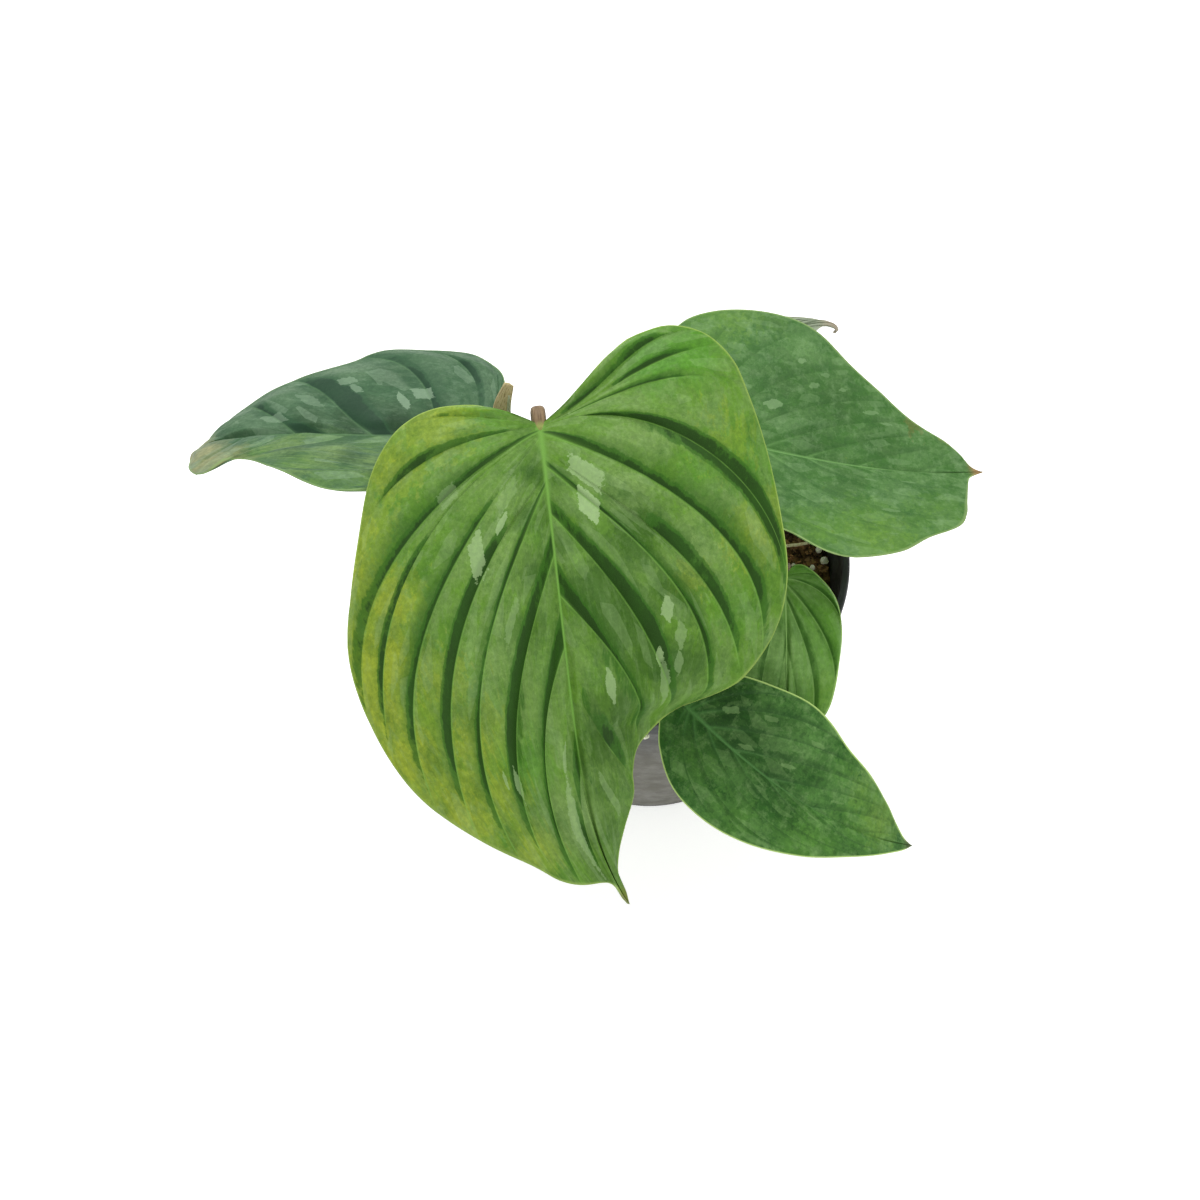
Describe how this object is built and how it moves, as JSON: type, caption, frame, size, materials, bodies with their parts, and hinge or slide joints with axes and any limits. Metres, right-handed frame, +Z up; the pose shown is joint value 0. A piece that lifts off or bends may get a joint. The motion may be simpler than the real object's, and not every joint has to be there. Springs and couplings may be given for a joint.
{
  "type": "potted philodendron",
  "caption": "Young houseplant with pleated heart-shaped leaves on arching petioles, rooted in a bark and peat mix in a tapered round black nursery pot.",
  "frame": {"origin": "middle of the pot's flat underside, on the surface it stands on", "axes": "+Z up along the pot's axis; the big front leaf hangs towards -Y and the left leaf reaches towards -X"},
  "size_m": [0.3058, 0.2451, 0.223],
  "materials": {
    "black_plastic": "satin",
    "peat": "matte",
    "stem_bark": "matte",
    "leaf_front": "satin",
    "leaf_left": "satin",
    "leaf_back_right": "satin",
    "leaf_lower_right": "satin",
    "leaf_small": "satin",
    "leaf_hidden_back": "satin",
    "petiole": "matte",
    "sheath_tan": "matte",
    "young_leaf": "matte",
    "root_skin": "matte",
    "perlite": "matte",
    "bark": "matte"
  },
  "bodies": {
    "root": {"pot": "black_plastic", "soil": "peat", "stem": "stem_bark", "leaf_front": "leaf_front", "leaf_left": "leaf_left", "leaf_back_right": "leaf_back_right", "leaf_lower_right": "leaf_lower_right", "leaf_small": "leaf_small", "leaf_hidden_back": "leaf_hidden_back", "petiole_front": "petiole", "petiole_left": "petiole", "petiole_back_right": "petiole", "petiole_lower_right": "petiole", "petiole_small": "petiole", "petiole_hidden_back": "petiole", "sheath": "sheath_tan", "young_leaf_spear": "young_leaf", "root": "root_skin", "perlite_1": "perlite", "perlite_2": "perlite", "perlite_3": "perlite", "perlite_4": "perlite", "perlite_5": "perlite", "perlite_6": "perlite", "perlite_7": "perlite", "perlite_8": "perlite", "perlite_on_lip": "perlite", "bark_chip_1": "bark", "bark_chip_2": "bark", "bark_chip_3": "bark", "bark_chip_4": "bark"}
  },
  "joints": []
}
